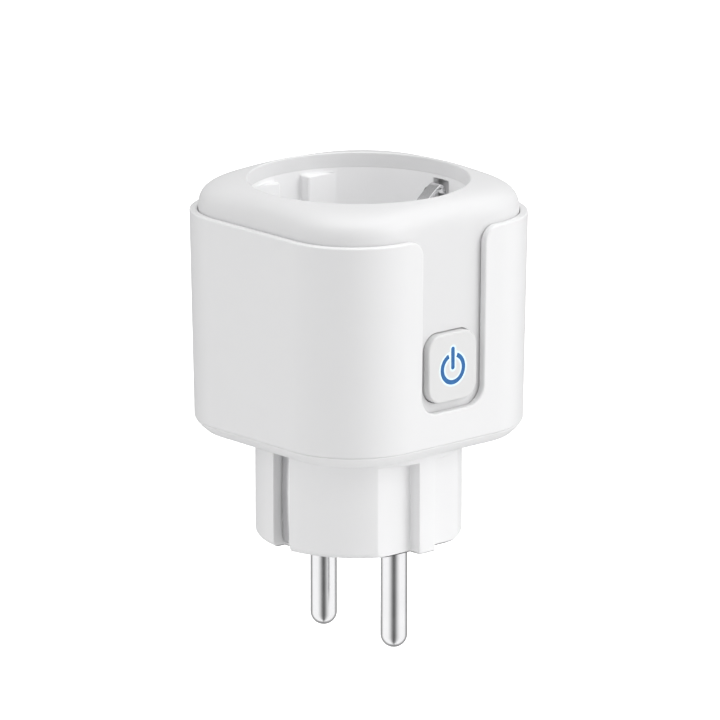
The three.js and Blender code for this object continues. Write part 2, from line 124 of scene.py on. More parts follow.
ICON_BAR_BOTTOM = -0.2
ICON_DISC_RADIUS = 4
ICON_DISC_DEPTH = 1.2  # how far the light guide's disc lies behind the button's face
ICON_POST_RADIUS = 1.2
ICON_POST_END_Y = -20.4
NOSE_RADIUS = 18.5
NOSE_FLAT = 15.9
NOSE_FLAT_TOP_Z = 16.7
NOSE_RIB_HALF = 1.9
NOSE_CAVITY = 14.2
NOSE_WALL = 3
NOSE_EDGE = 1.2
EARTH_RECESS_HALF = 2.1
EARTH_RECESS_FLOOR = 15.7
EARTH_HOLE_X = 10
EARTH_HOLE_RADIUS = 3.2
SHOULDER_Z = 19.3
PIN_RADIUS = 2.4
PIN_COLLAR_RADIUS = 3.2
PIN_COLLAR_HEIGHT = 1.7
PIN_STEM_RADIUS = 1.5
PIN_PLACE = 9.5
SCREW_PLACE = 15.5
BOSS_RADIUS = 2.6
BOSS_HOLE_RADIUS = 1.25


# ---- Meshes ----
def make_object(name, vertices, faces):
    """A smooth-shaded object from points in millimetres."""
    mesh = bpy.data.meshes.new(name)
    mesh.from_pydata([Vector(v) * MM for v in vertices], [], faces)
    clean(mesh)
    piece = bpy.data.objects.new(name, mesh)
    bpy.context.scene.collection.objects.link(piece)
    return piece


def clean(mesh):
    """Merges double points, drops slivers and turns every face outwards."""
    net = bmesh.new()
    net.from_mesh(mesh)
    bmesh.ops.remove_doubles(net, verts=net.verts, dist=2e-7)
    bmesh.ops.dissolve_degenerate(net, edges=net.edges, dist=1e-7)
    bmesh.ops.recalc_face_normals(net, faces=net.faces)
    for face in net.faces:
        face.smooth = True
    net.to_mesh(mesh)
    net.free()


def loft(name, rings, closed=False):
    """Joins rings into a skin, which is capped at both ends or, if closed, returns to its first ring."""
    count = len(rings[0])
    vertices = [point for ring in rings for point in ring]
    faces = []
    for k in range(len(rings) if closed else len(rings) - 1):
        start, after = k * count, (k + 1) % len(rings) * count
        for i in range(count):
            j = (i + 1) % count
            faces.append((start + i, start + j, after + j, after + i))
    if not closed:
        faces.append(tuple(reversed(range(count))))
        faces.append(tuple(range((len(rings) - 1) * count, len(rings) * count)))
    return make_object(name, vertices, faces)


def circle(radius, cx=0, cy=0, steps=128):
    angles = [2 * math.pi * i / steps for i in range(steps)]
    return [(cx + radius * math.cos(a), cy + radius * math.sin(a)) for a in angles]


def lathe(name, profile, x=0, y=0, steps=128):
    """Turns (radius, z) points about a vertical axis through (x, y)."""
    rings = []
    for radius, z in profile:
        rings.append([(px, py, z) for px, py in circle(radius, x, y, steps)])
    return loft(name, rings)


def cylinder(name, radius, z0, z1, x=0, y=0, steps=128):
    return lathe(name, [(0, z0), (radius, z0), (radius, z1), (0, z1)], x, y, steps)


def prism(name, outline, low, high, axis="z"):
    """Extrudes an outline of (x, y) points along Z, or of (x, z) points along Y."""
    if axis == "z":
        rings = [[(x, y, level) for x, y in outline] for level in (low, high)]
    else:
        rings = [[(x, level, z) for x, z in outline] for level in (low, high)]
    return loft(name, rings)


def box(name, x0, x1, y0, y1, z0, z1):
    return prism(name, [(x0, y0), (x1, y0), (x1, y1), (x0, y1)], z0, z1)


def mirrored_box(name, side, x0, x1, y0, y1, z0, z1):
    return box(name, *sorted((side * x0, side * x1)), y0, y1, z0, z1)


def rod_along_y(name, radius, x, z, y0, y1, steps=48):
    return prism(name, circle(radius, x, z, steps), y0, y1, "y")


def arc(cx, cy, radius, start, end, steps):
    """Points of an arc, its angles in degrees."""
    angles = [math.radians(start + (end - start) * i / steps) for i in range(steps + 1)]
    return [(cx + radius * math.cos(a), cy + radius * math.sin(a)) for a in angles]


def rounded_edge(radius, steps):
    """Steps round a quarter circle, as (inset, rise) from the end of the edge to its full width."""
    turns = [math.radians(90 * step / steps) for step in range(steps + 1)]
    return [(radius * (1 - math.sin(turn)), radius * (1 - math.cos(turn))) for turn in turns]


def rounded_rectangle(half_x, half_y, radius, cx=0, cy=0, steps=16):
    x, y = half_x - radius, half_y - radius
    points = arc(cx + x, cy + y, radius, 0, 90, steps)
    points += arc(cx - x, cy + y, radius, 90, 180, steps)
    points += arc(cx - x, cy - y, radius, 180, 270, steps)
    points += arc(cx + x, cy - y, radius, 270, 360, steps)
    return points


def square_ring(half, radius, z, steps=28, flat_steps=1):
    """A rounded square at height z. Its flats are cut into flat_steps pieces."""
    corners = rounded_rectangle(half, half, radius, steps=steps)
    points = []
    for i, (x, y) in enumerate(corners):
        points.append((x, y, z))
        if i % (steps + 1) == steps:
            end = corners[(i + 1) % len(corners)]
            for k in range(1, flat_steps):
                share = k / flat_steps
                points.append((x + (end[0] - x) * share, y + (end[1] - y) * share, z))
    return points


def circle_like(radius, z, ring):
    """A circle whose points lie at the same angles as those of another ring."""
    angles = [math.atan2(y, x) for x, y, _ in ring]
    return [(radius * math.cos(a), radius * math.sin(a), z) for a in angles]


def apply_modifiers(piece):
    """Replaces the piece's mesh by what its modifiers make of it."""
    graph = bpy.context.evaluated_depsgraph_get()
    mesh = bpy.data.meshes.new_from_object(piece.evaluated_get(graph))
    piece.modifiers.clear()
    piece.data = mesh
    clean(mesh)


def combine(body, tools, operation):
    """Cuts the tools out of the body or joins them to it, and uses them up."""
    for tool in tools:
        step = body.modifiers.new(operation.lower(), "BOOLEAN")
        step.operation = operation
        step.solver = "EXACT"
        step.object = tool
    apply_modifiers(body)
    for tool in tools:
        bpy.data.objects.remove(tool)


def carve(body, *tools):
    combine(body, tools, "DIFFERENCE")


def weld(body, *tools):
    combine(body, tools, "UNION")


def round_edges(piece, width, segments=3, sharper_than=32, where=None):
    """Rounds edges sharper than an angle. Those that where() turns down stay sharp and flat-shaded."""
    net = bmesh.new()
    net.from_mesh(piece.data)
    weight = net.edges.layers.float.new("bevel_weight_edge")
    for edge in net.edges:
        middle = (edge.verts[0].co + edge.verts[1].co) / (2 * MM)
        sharp = len(edge.link_faces) == 2 and edge.calc_face_angle() > math.radians(sharper_than)
        rounded = sharp and (where is None or where(middle))
        edge[weight] = 1 if rounded else 0
        edge.smooth = rounded or not sharp
    net.to_mesh(piece.data)
    net.free()
    bevel = piece.modifiers.new("rounded_edges", "BEVEL")
    bevel.limit_method = "WEIGHT"
    bevel.width = width * MM
    bevel.segments = segments
    bevel.use_clamp_overlap = False
    even_normals(piece)


def even_normals(piece):
    """Shades large faces flat and leaves the curve of the light to the rounded edges between them."""
    normals = piece.modifiers.new("even_normals", "WEIGHTED_NORMAL")
    normals.weight = 100
    normals.keep_sharp = True


# ---- Procedural materials ----
MIX_A, MIX_B, MIX_RESULT = 6, 7, 2  # sockets of the Mix node when it mixes colours


def start_material(name):
    material = bpy.data.materials.new(name)
    material.use_nodes = True
    nodes, links = material.node_tree.nodes, material.node_tree.links
    shader = nodes["Principled BSDF"]
    place = nodes.new("ShaderNodeTexCoord")
    return material, nodes, links, shader, place


def add_noise(nodes, links, source, scale, detail=3):
    noise = nodes.new("ShaderNodeTexNoise")
    noise.inputs["Scale"].default_value = scale
    noise.inputs["Detail"].default_value = detail
    links.new(source, noise.inputs["Vector"])
    return noise.outputs["Fac"]


def spread(nodes, links, source, low, high):
    """Maps a noise's usual range onto low to high."""
    span = nodes.new("ShaderNodeMapRange")
    span.inputs["From Min"].default_value = 0.3
    span.inputs["From Max"].default_value = 0.7
    span.inputs["To Min"].default_value = low
    span.inputs["To Max"].default_value = high
    links.new(source, span.inputs["Value"])
    return span.outputs["Result"]


def add_bump(nodes, links, shader, height, strength, distance):
    bump = nodes.new("ShaderNodeBump")
    bump.inputs["Strength"].default_value = strength
    bump.inputs["Distance"].default_value = distance * MM
    links.new(height, bump.inputs["Height"])
    links.new(bump.outputs["Normal"], shader.inputs["Normal"])


def colour_between(nodes, links, shader, share, low, high):
    mix = nodes.new("ShaderNodeMix")
    mix.data_type = "RGBA"
    mix.inputs[MIX_A].default_value = (*low, 1)
    mix.inputs[MIX_B].default_value = (*high, 1)
    links.new(share, mix.inputs["Factor"])
    links.new(mix.outputs[MIX_RESULT], shader.inputs["Base Color"])


def plastic(name, colour, roughness, grain=0.25, bump=0.03, variation=0.006):
    """Moulded plastic: faint mottling of its colour, an uneven gloss, and a fine moulded grain."""
    material, nodes, links, shader, place = start_material(name)
    mottle = add_noise(nodes, links, place.outputs["Object"], 60)
    darker = [c * (1 - variation) for c in colour]
    colour_between(nodes, links, shader, mottle, darker, colour)
    gloss = add_noise(nodes, links, place.outputs["Object"], 180, 4)
    uneven = spread(nodes, links, gloss, roughness * 0.94, roughness * 1.06)
    links.new(uneven, shader.inputs["Roughness"])
    grains = add_noise(nodes, links, place.outputs["Object"], 1 / (grain * MM), 2)
    add_bump(nodes, links, shader, grains, bump, 0.05)
    shader.inputs["IOR"].default_value = 1.5
    return material


def metal(name, colour, roughness, drawn=(1, 1, 0.08)):
    """Metal with fine lines drawn along Z and a slight unevenness of its polish."""
    material, nodes, links, shader, place = start_material(name)
    stretch = nodes.new("ShaderNodeMapping")
    stretch.inputs["Scale"].default_value = drawn
    links.new(place.outputs["Object"], stretch.inputs["Vector"])
    lines = add_noise(nodes, links, stretch.outputs["Vector"], 9000, 2)
    cloud = add_noise(nodes, links, place.outputs["Object"], 250, 3)
    darker = [c * 0.94 for c in colour]
    colour_between(nodes, links, shader, spread(nodes, links, cloud, 0, 1), darker, colour)
    uneven = spread(nodes, links, cloud, roughness * 0.85, roughness * 1.2)
    links.new(uneven, shader.inputs["Roughness"])
    add_bump(nodes, links, shader, lines, 0.06, 0.01)
    shader.inputs["Metallic"].default_value = 1
    return material


def board(name, colour):
    """Solder mask over copper tracks: square cells, slightly lighter over the copper."""
    material, nodes, links, shader, place = start_material(name)
    cells = nodes.new("ShaderNodeTexVoronoi")
    cells.distance = "CHEBYCHEV"
    cells.inputs["Scale"].default_value = 420
    links.new(place.outputs["Object"], cells.inputs["Vector"])
    lighter = [min(1, c * 1.6) for c in colour]
    colour_between(nodes, links, shader, cells.outputs["Distance"], lighter, colour)
    add_bump(nodes, links, shader, cells.outputs["Distance"], 0.2, 0.05)
    shader.inputs["Roughness"].default_value = 0.4
    return material


def glow_round_symbol(material, reach=0.55):
    """Adds the pale light that the lit symbol sheds on the button's face round its strokes."""
    nodes, links = material.node_tree.nodes, material.node_tree.links
    shader = nodes["Principled BSDF"]
    place = nodes.new("ShaderNodeTexCoord")
    split = nodes.new("ShaderNodeSeparateXYZ")
    links.new(place.outputs["Object"], split.inputs["Vector"])

    def maths(operation, *values):
        node = nodes.new("ShaderNodeMath")
        node.operation = operation
        for socket, value in zip(node.inputs, values):
            if isinstance(value, (int, float)):
                socket.default_value = value
            else:
                links.new(value, socket)
        return node.outputs["Value"]

    def length(a, b):
        return maths("SQRT", maths("ADD", maths("MULTIPLY", a, a), maths("MULTIPLY", b, b)))

    x, y, z = split.outputs["X"], split.outputs["Y"], split.outputs["Z"]
    up = maths("SUBTRACT", z, ICON_Z * MM)
    from_centre = length(x, up)
    ring = maths("ABSOLUTE", maths("SUBTRACT", from_centre, ICON_RADIUS * MM))
    bar_middle = (ICON_BAR_TOP + ICON_BAR_BOTTOM) / 2 * MM
    bar_half = ((ICON_BAR_TOP - ICON_BAR_BOTTOM) / 2 - ICON_HALF) * MM
    from_middle = maths("ABSOLUTE", maths("SUBTRACT", up, bar_middle))
    past_end = maths("MAXIMUM", maths("SUBTRACT", from_middle, bar_half), 0)
    bar = length(x, past_end)
    beyond = maths("SUBTRACT", maths("MINIMUM", ring, bar), ICON_HALF * MM)
    fade = nodes.new("ShaderNodeMapRange")
    fade.interpolation_type = "SMOOTHSTEP"
    fade.inputs["From Min"].default_value = 0
    fade.inputs["From Max"].default_value = reach * MM
    fade.inputs["To Min"].default_value = 1
    fade.inputs["To Max"].default_value = 0
    links.new(beyond, fade.inputs["Value"])
    on_face = maths("LESS_THAN", y, (BUTTON_FACE_Y + 0.3) * MM)
    glow = maths("MULTIPLY", fade.outputs["Result"], on_face)
    shader.inputs["Emission Color"].default_value = (0.35, 0.82, 1, 1)
    links.new(maths("MULTIPLY", glow, 0.45), shader.inputs["Emission Strength"])


def lit_symbol(name):
    """Blue light guide with a faint glow, its blue varying a little at random."""
    material, nodes, links, shader, place = start_material(name)
    cloud = add_noise(nodes, links, place.outputs["Object"], 900, 2)
    share = spread(nodes, links, cloud, 0, 1)
    colour_between(nodes, links, shader, share, (0.003, 0.085, 0.27), (0.006, 0.125, 0.36))
    add_bump(nodes, links, shader, cloud, 0.05, 0.02)
    shader.inputs["Roughness"].default_value = 0.3
    shader.inputs["Emission Color"].default_value = (0.01, 0.18, 0.5, 1)
    shader.inputs["Emission Strength"].default_value = 0.12
    return material


MATERIALS = {
    "sleeve_white": plastic("sleeve_white", (0.83, 0.83, 0.835), 0.3, bump=0.015),
    "housing_white": plastic("housing_white", (0.76, 0.76, 0.765), 0.42, bump=0.04),
    "button_white": plastic("button_white", (0.74, 0.74, 0.74), 0.38, bump=0.04),
    "icon_blue": lit_symbol("icon_blue"),
    "nickel": metal("nickel", (0.78, 0.78, 0.79), 0.2),
    "bronze": metal("bronze", (0.72, 0.5, 0.27), 0.32),
    "steel": metal("steel", (0.62, 0.63, 0.65), 0.35),
    "board_green": board("board_green", (0.02, 0.16, 0.06)),
    "part_black": plastic("part_black", (0.02, 0.02, 0.022), 0.45, bump=0.15, variation=0.2),
    "part_blue": plastic("part_blue", (0.03, 0.12, 0.4), 0.35, variation=0.1),
    "led_clear": plastic("led_clear", (0.85, 0.82, 0.62), 0.15),
}
# Painted light: a lighter copy of housing_white that brightens the shaded inside of the well and the
# shaded plug base.
HOUSING_WHITE_LIFTED_FOR_SHADE = plastic("housing_white_lifted_for_shade", (0.9, 0.9, 0.905), 0.4, bump=0.04)
glow_round_symbol(MATERIALS["button_white"])


rebuilt = set()  # CAD nodes that a finished piece stands in for


def finish_piece(piece, slot, body, *nodes, material=None):
    """Gives a piece the material named by its slot, or the material given, and its body, and names the
    CAD nodes that it replaces.
    """
    piece.data.materials.clear()
    piece.data.materials.append(material or MATERIALS[slot])
    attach(piece, body)
    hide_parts(*nodes)
    rebuilt.update(nodes)


# ---- Camera, lights and floor ----
CAMERA_AZIMUTH = -41.55
CAMERA_ELEVATION = 14.76
CAMERA_DISTANCE = 1338.9
CAMERA_LENS = 375.9
AIM_RIGHT = 0.25
AIM_Z = 31.7


def add_camera():
    azimuth, elevation = math.radians(CAMERA_AZIMUTH), math.radians(CAMERA_ELEVATION)
    back = Vector((
        math.sin(azimuth) * math.cos(elevation),
        -math.cos(azimuth) * math.cos(elevation),
        math.sin(elevation),
    ))
    right = Vector((math.cos(azimuth), math.sin(azimuth), 0))
    target = right * AIM_RIGHT + Vector((0, 0, AIM_Z))
    data = bpy.data.cameras.new("camera")
    data.lens = CAMERA_LENS
    data.sensor_width = 36
    data.clip_start = 0.05
    data.clip_end = 50
    camera = bpy.data.objects.new("camera", data)
    camera.location = (target + back * CAMERA_DISTANCE) * MM
    camera.rotation_mode = "QUATERNION"
    camera.rotation_quaternion = (-back).to_track_quat("-Z", "Y")
    bpy.context.scene.collection.objects.link(camera)
    bpy.context.scene.camera = camera


def add_softbox(name, position, width, height, radiance, aim=(0, 0, 0.03)):
    """A rectangular lamp. Its position, sides and aim are in metres."""
    data = bpy.data.lights.new(name, "AREA")
    data.shape = "RECTANGLE"
    data.size = width
    data.size_y = height
    data.energy = radiance * math.pi * width * height
    light = bpy.data.objects.new(name, data)
    light.location = position
    light.rotation_mode = "QUATERNION"
    light.rotation_quaternion = (Vector(aim) - Vector(position)).to_track_quat("-Z", "Y")
    bpy.context.scene.collection.objects.link(light)


def add_floor():
    """A white floor that shines at the camera only and stays out of reflections."""
    half = 4000
    corners = [(-half, -half, 0), (half, -half, 0), (half, half, 0), (-half, half, 0)]
    floor = make_object("floor", corners, [(0, 1, 2, 3)])
    floor.location.z = (PIN_TIP_Z - SEAM) * MM
    material, nodes, links, shader, place = start_material("floor_white")
    cloud = add_noise(nodes, links, place.outputs["Object"], 3)
    colour_between(nodes, links, shader, cloud, (0.72, 0.72, 0.72), (0.74, 0.74, 0.74))
    shader.inputs["Roughness"].default_value = 0.9
    shader.inputs["Emission Color"].default_value = (1, 1, 1, 1)
    seen = nodes.new("ShaderNodeLightPath")
    links.new(seen.outputs["Is Camera Ray"], shader.inputs["Emission Strength"])
    floor.data.materials.append(material)
    floor.visible_glossy = False


def add_world():
    """A white studio: bright walls to the sides, darker behind the camera and behind the object."""
    world = bpy.data.worlds.new("studio")
    world.use_nodes = True
    nodes, links = world.node_tree.nodes, world.node_tree.links
    place = nodes.new("ShaderNodeTexCoord")
    level = nodes.new("ShaderNodeVectorMath")
    level.operation = "MULTIPLY"
    level.inputs[1].default_value = (1, 1, 0)
    links.new(place.outputs["Generated"], level.inputs[0])
    heading = nodes.new("ShaderNodeVectorMath")
    heading.operation = "NORMALIZE"
    links.new(level.outputs["Vector"], heading.inputs[0])
    facing = nodes.new("ShaderNodeVectorMath")
    facing.operation = "DOT_PRODUCT"
    facing.inputs[1].default_value = (-0.663, -0.748, 0)  # level, from the object towards the camera
    links.new(heading.outputs["Vector"], facing.inputs[0])
    span = nodes.new("ShaderNodeMapRange")
    span.inputs["From Min"].default_value = -1
    links.new(facing.outputs["Value"], span.inputs["Value"])
    walls = nodes.new("ShaderNodeValToRGB")
    walls.color_ramp.interpolation = "EASE"
    # Grey levels of the walls, from behind the object (0) round to behind the camera (1).
    stops = [(0, 0.3), (0.2, 0.35), (0.38, 1), (0.8, 1), (0.92, 0.75), (0.97, 0.4), (1, 0.12)]
    while len(walls.color_ramp.elements) < len(stops):
        walls.color_ramp.elements.new(0.5)
    for element, (position, grey) in zip(walls.color_ramp.elements, stops):
        element.position = position
        element.color = (grey, grey, grey, 1)
    links.new(span.outputs["Result"], walls.inputs["Fac"])
    backdrop = nodes["Background"]
    links.new(walls.outputs["Color"], backdrop.inputs["Color"])
    backdrop.inputs["Strength"].default_value = 1.22
    bpy.context.scene.world = world
    bpy.context.scene.view_settings.view_transform = "Standard"


add_camera()
add_floor()
add_world()
add_softbox("right_softbox", (0.45, -0.95, 0.4), width=0.6, height=0.8, radiance=2.05)
add_softbox("top_softbox", (0.1, -0.1, 1.1), width=1.1, height=1.1, radiance=1.2)


# ---- Sleeve ----
def channel_outline():
    """Button channel in X and Z, open at the top: flared corners at its mouth, round ones below."""
    half, low, high = CHANNEL_HALF, CHANNEL_BOTTOM_Z, SLEEVE_TOP_Z
    foot, flare = CHANNEL_BOTTOM_RADIUS, CHANNEL_MOUTH_RADIUS
    points = [(half + flare, high + 2), (-half - flare, high + 2)]
    points += arc(-half - flare, high - flare, flare, 90, 0, 12)
    points += arc(-half + foot, low + foot, foot, 180, 270, 14)
    points += arc(half - foot, low + foot, foot, 270, 360, 14)
    points += arc(half + flare, high - flare, flare, 180, 90, 12)
    return points


def build_sleeve():
    top, bottom = SLEEVE_TOP_HALF, SLEEVE_TOP_HALF - TAPER
    rings = []
    for inset, rise in rounded_edge(SLEEVE_EDGE, 5):
        rings.append(square_ring(bottom - inset, CORNER_RADIUS - inset, SLEEVE_BOTTOM_Z + rise))
    rings.append(square_ring(top, CORNER_RADIUS, SLEEVE_TOP_Z))
    rings.append(square_ring(top - SLEEVE_WALL, CORNER_RADIUS - SLEEVE_WALL, SLEEVE_TOP_Z))
    rings.append(square_ring(bottom - SLEEVE_WALL, CORNER_RADIUS - SLEEVE_WALL, SLEEVE_BOTTOM_Z))
    sleeve = loft("sleeve", rings, closed=True)
    carve(sleeve, prism("channel", channel_outline(), OUTSIDE_Y, BEHIND_SLEEVE_Y, "y"))
    round_edges(sleeve, 0.32, where=lambda p: p.z > SLEEVE_BOTTOM_Z + 1)
    finish_piece(sleeve, "sleeve_white", "adapter", "outer_sleeve")


# ---- Housing and its rolled cap ----
def housing_ring(half, radius, z):
    return square_ring(half, radius, z, steps=18, flat_steps=14)


def build_housing():
    steps = 22
    side = housing_ring(HOUSING_TOP_HALF, HOUSING_CORNER, SLEEVE_TOP_Z)
    mouth = circle_like(MOUTH_RADIUS, RIM_Z, side)
    rings = [housing_ring(HOUSING_TOP_HALF - TAPER, HOUSING_CORNER, SLEEVE_BOTTOM_Z)]
    for i in range(steps + 1):
        angle = i / steps * math.pi / 2
        outward, upward = math.cos(angle) ** CAP_FULLNESS, math.sin(angle) ** CAP_FULLNESS
        roll = (RIM_Z - SLEEVE_TOP_Z - CREST_RISE) * upward
        z = SLEEVE_TOP_Z + roll + CREST_RISE * (1 - outward) ** CREST_SHARPNESS
        ring = []
        for s, m in zip(side, mouth):
            ring.append((m[0] + (s[0] - m[0]) * outward, m[1] + (s[1] - m[1]) * outward, z))
        rings.append(ring)
    lip = MOUTH_RADIUS - WELL_RADIUS
    for x, z in arc(MOUTH_RADIUS, RIM_Z - lip, lip, 90, 180, 5)[1:]:
        rings.append(circle_like(x, z, side))
    inner_half, inner_corner = HOUSING_TOP_HALF - HOUSING_WALL, HOUSING_CORNER - HOUSING_WALL
    rings.append(circle_like(WELL_RADIUS, WELL_LIP_Z, side))
    rings.append(circle_like(WELL_OUTER + 0.3, WELL_LIP_Z, side))
    rings.append(housing_ring(inner_half, inner_corner, WELL_LIP_Z - LIP_DROP))
    rings.append(housing_ring(inner_half - TAPER, inner_corner, SLEEVE_BOTTOM_Z))
    housing = loft("housing", rings, closed=True)
    gap = BUTTON_GAP
    hole = rounded_rectangle(
        BUTTON_HALF_X + gap, BUTTON_HALF_Z + gap, BUTTON_RADIUS + gap, 0, BUTTON_Z
    )
    carve(housing, prism("aperture", hole, OUTSIDE_Y, BEHIND_HOUSING_Y, "y"))

    def near_the_button(p):
        beside = abs(p.x) < CHANNEL_HALF and abs(p.z - BUTTON_Z) < CHANNEL_HALF
        return beside and p.y < BEHIND_SLEEVE_Y

    round_edges(housing, 0.15, where=near_the_button)
    finish_piece(housing, "housing_white", "adapter", "socket_housing")


# ---- Socket well ----
def guide_outline(side_x, side_y, radius):
    """Plan of one guide block, from its flat out into the well's wall."""
    start = math.degrees(math.asin(GUIDE_FLAT / radius))
    end = math.degrees(math.acos(GUIDE_GAP_HALF / radius))
    points = arc(0, 0, radius, start, end, 12)
    rounding = GUIDE_ROUNDING
    points += arc(GUIDE_GAP_HALF + rounding, GUIDE_FLAT + rounding, rounding, 180, 270, 5)
    return [(side_x * x, side_y * y) for x, y in points]


def build_well():
    top = WELL_LIP_Z - SEAM
    cup = lathe("well", [
        (0, WELL_UNDERSIDE_Z),
        (WELL_OUTER, WELL_UNDERSIDE_Z),
        (WELL_OUTER, top),
        (WELL_RADIUS, top),
        (WELL_RADIUS, WELL_FLOOR_Z),
        (0, WELL_FLOOR_Z),
    ])
    radius = (WELL_RADIUS + WELL_OUTER) / 2
    guides = [
        prism("guide", guide_outline(side_x, side_y, radius), WELL_FLOOR_Z - 1, GUIDE_TOP_Z)
        for side_x in (-1, 1)
        for side_y in (-1, 1)
    ]
    weld(cup, *guides)
    tools = []
    for side in (-1, 1):
        tools.append(lathe("pin_hole", [
            (0, WELL_UNDERSIDE_Z - 1),
            (PIN_HOLE_RADIUS, WELL_UNDERSIDE_Z - 1),
            (PIN_HOLE_RADIUS, WELL_FLOOR_Z - 0.5),
            (PIN_HOLE_RADIUS + 1.5, WELL_FLOOR_Z + 1),
            (0, WELL_FLOOR_Z + 1),
        ], 0, side * PIN_PLACE, 64))
        tools.append(mirrored_box(
            "clip_slot", side, CLIP_SLOT_INNER, CLIP_SLOT_OUTER, -CLIP_SLOT_HALF, CLIP_SLOT_HALF,
            WELL_UNDERSIDE_Z - 1, GUIDE_TOP_Z,
        ))
    carve(cup, *tools)

    def clear_of_floor_and_outside(p):
        between = WELL_UNDERSIDE_Z + 0.1 < p.z < WELL_LIP_Z - 0.5
        return between and abs(p.z - WELL_FLOOR_Z) > 0.1 and math.hypot(p.x, p.y) < WELL_OUTER - 0.2

    round_edges(cup, 0.28, where=clear_of_floor_and_outside)
    # The well wears the lighter copy of the housing white, painted brighter against the shade inside it.
    finish_piece(cup, "housing_white", "adapter", "socket_well", material=HOUSING_WHITE_LIFTED_FOR_SHADE)


# ---- Plug base ----
def nose_quarter(radius, flats):
    """Plan of a quarter of the plug's nose, from the earth recess to the guide rib."""
    recess = math.asin(EARTH_RECESS_HALF / radius)
    flat_start = math.asin(NOSE_FLAT / radius)
    rib_edge = math.acos(NOSE_RIB_HALF / NOSE_RADIUS)
    rib_foot = math.atan2(NOSE_FLAT, NOSE_RIB_HALF)
    points = [(EARTH_RECESS_FLOOR, EARTH_RECESS_HALF)]
    points += arc(0, 0, radius, math.degrees(recess), math.degrees(flat_start), 16)
    flat_end = radius * math.cos(flat_start)
    for i in range(1, 9):
        x = flat_end + (NOSE_RIB_HALF - flat_end) * i / 8
        angle = math.atan2(NOSE_FLAT, x) if i < 8 else rib_foot
        on_circle = (radius * math.cos(angle), radius * math.sin(angle))
        points.append((x, NOSE_FLAT) if flats else on_circle)
    points += arc(0, 0, NOSE_RADIUS, math.degrees(rib_edge), 90, 2)
    return points


def nose_ring(radius, z, flats=True):
    quarter = nose_quarter(radius, flats)
    half = quarter + [(-x, y) for x, y in reversed(quarter[:-1])]
    return [(x, y, z) for x, y in half] + [(-x, -y, z) for x, y in half]


def build_nose():
    rings = [nose_ring(NOSE_RADIUS - inset, rise) for inset, rise in rounded_edge(NOSE_EDGE, 7)]
    rings.append(nose_ring(NOSE_RADIUS, NOSE_FLAT_TOP_Z))
    rings.append(nose_ring(NOSE_RADIUS, NOSE_FLAT_TOP_Z, flats=False))
    rings.append(nose_ring(NOSE_RADIUS, SHOULDER_Z + 0.5, flats=False))
    return loft("nose", rings)


def build_base():
    half = SLEEVE_TOP_HALF - TAPER
    above = 25  # higher than any part of the base, for cuts that go through its top
    underside = [
        (2.4, SHOULDER_Z),
        (1.95, SHOULDER_Z + 0.12),
        (1.2, SHOULDER_Z + 0.75),
        (0.5, SHOULDER_Z + 1.5),
        (0.15, SLEEVE_BOTTOM_Z - 0.2),
        (0.15, SLEEVE_BOTTOM_Z - 0.03),
    ]
    plate = loft("base", [square_ring(half - inset, CORNER_RADIUS - inset, z) for inset, z in underside])
    weld(plate, build_nose())
    tools = [cylinder("cavity", NOSE_CAVITY, NOSE_WALL, above)]
    for side in (-1, 1):
        tools.append(cylinder("pin_hole", PIN_RADIUS + 0.08, -1, NOSE_WALL + 1, 0, side * PIN_PLACE, 64))
        tools.append(mirrored_box(
            "recess_top", side, EARTH_RECESS_FLOOR, EARTH_RECESS_FLOOR + 1.5,
            -EARTH_RECESS_HALF, EARTH_RECESS_HALF, SHOULDER_Z - 1, above,
        ))
    tools.append(lathe("earth_hole", [
        (0, -1),
        (EARTH_HOLE_RADIUS + 1.4, -1),
        (EARTH_HOLE_RADIUS, 0.4),
        (EARTH_HOLE_RADIUS, 4),
        (0, 4),
    ], EARTH_HOLE_X, 0, 64))
    carve(plate, *tools)
    for side in (-1, 1):
        at, low, high = side * SCREW_PLACE, FLANGE_TOP_Z - 1, base_high.z
        boss = cylinder("boss", BOSS_RADIUS, low, high, at, at, 48)
        carve(boss, cylinder("boss_hole", BOSS_HOLE_RADIUS, low + 0.5, 30, at, at, 32))
        weld(plate, boss)
    round_edges(plate, 0.18, where=lambda p: p.z < SHOULDER_Z + 0.2)
    # The plug base wears the lighter copy of the housing white, painted brighter against the shade under
    # the adapter.
    finish_piece(plate, "housing_white", "adapter", "plug_base", material=HOUSING_WHITE_LIFTED_FOR_SHADE)


# ---- Pins, contacts and clips ----
def build_pin(name, node, y):
    """A round-ended pin with a collar behind the nose's wall and a thinner stem above it."""
    tip = [(PIN_RADIUS - inset, PIN_TIP_Z + rise) for inset, rise in rounded_edge(PIN_RADIUS, 16)]
    collar = NOSE_WALL + 0.3
    collar_top = collar + PIN_COLLAR_HEIGHT
    top = pin_high.z
    pin = lathe(name, [
        *tip,
        (PIN_RADIUS, collar),
        (PIN_COLLAR_RADIUS, collar),
        (PIN_COLLAR_RADIUS, collar_top),
        (PIN_STEM_RADIUS, collar_top),
        (PIN_STEM_RADIUS, top),
        (0, top),
    ], 0, y, 96)
    round_edges(pin, 0.15, where=lambda p: p.z > 0)
    finish_piece(pin, "nickel", "adapter", node)


def smooth_path(points, steps=6):
    """A Catmull-Rom curve through the points."""
    points = [Vector(p) for p in points]
    ends = [points[0] * 2 - points[1], *points, points[-1] * 2 - points[-2]]
    path = []
    for a, b, c, d in zip(ends, ends[1:], ends[2:], ends[3:]):
        for i in range(steps):
            t = i / steps
            bend = (a * 2 - b * 5 + c * 4 - d) * t ** 2
            twist = (b * 3 - a - c * 3 + d) * t ** 3
            path.append((b * 2 + (c - a) * t + bend + twist) / 2)
    return [*path, points[-1]]


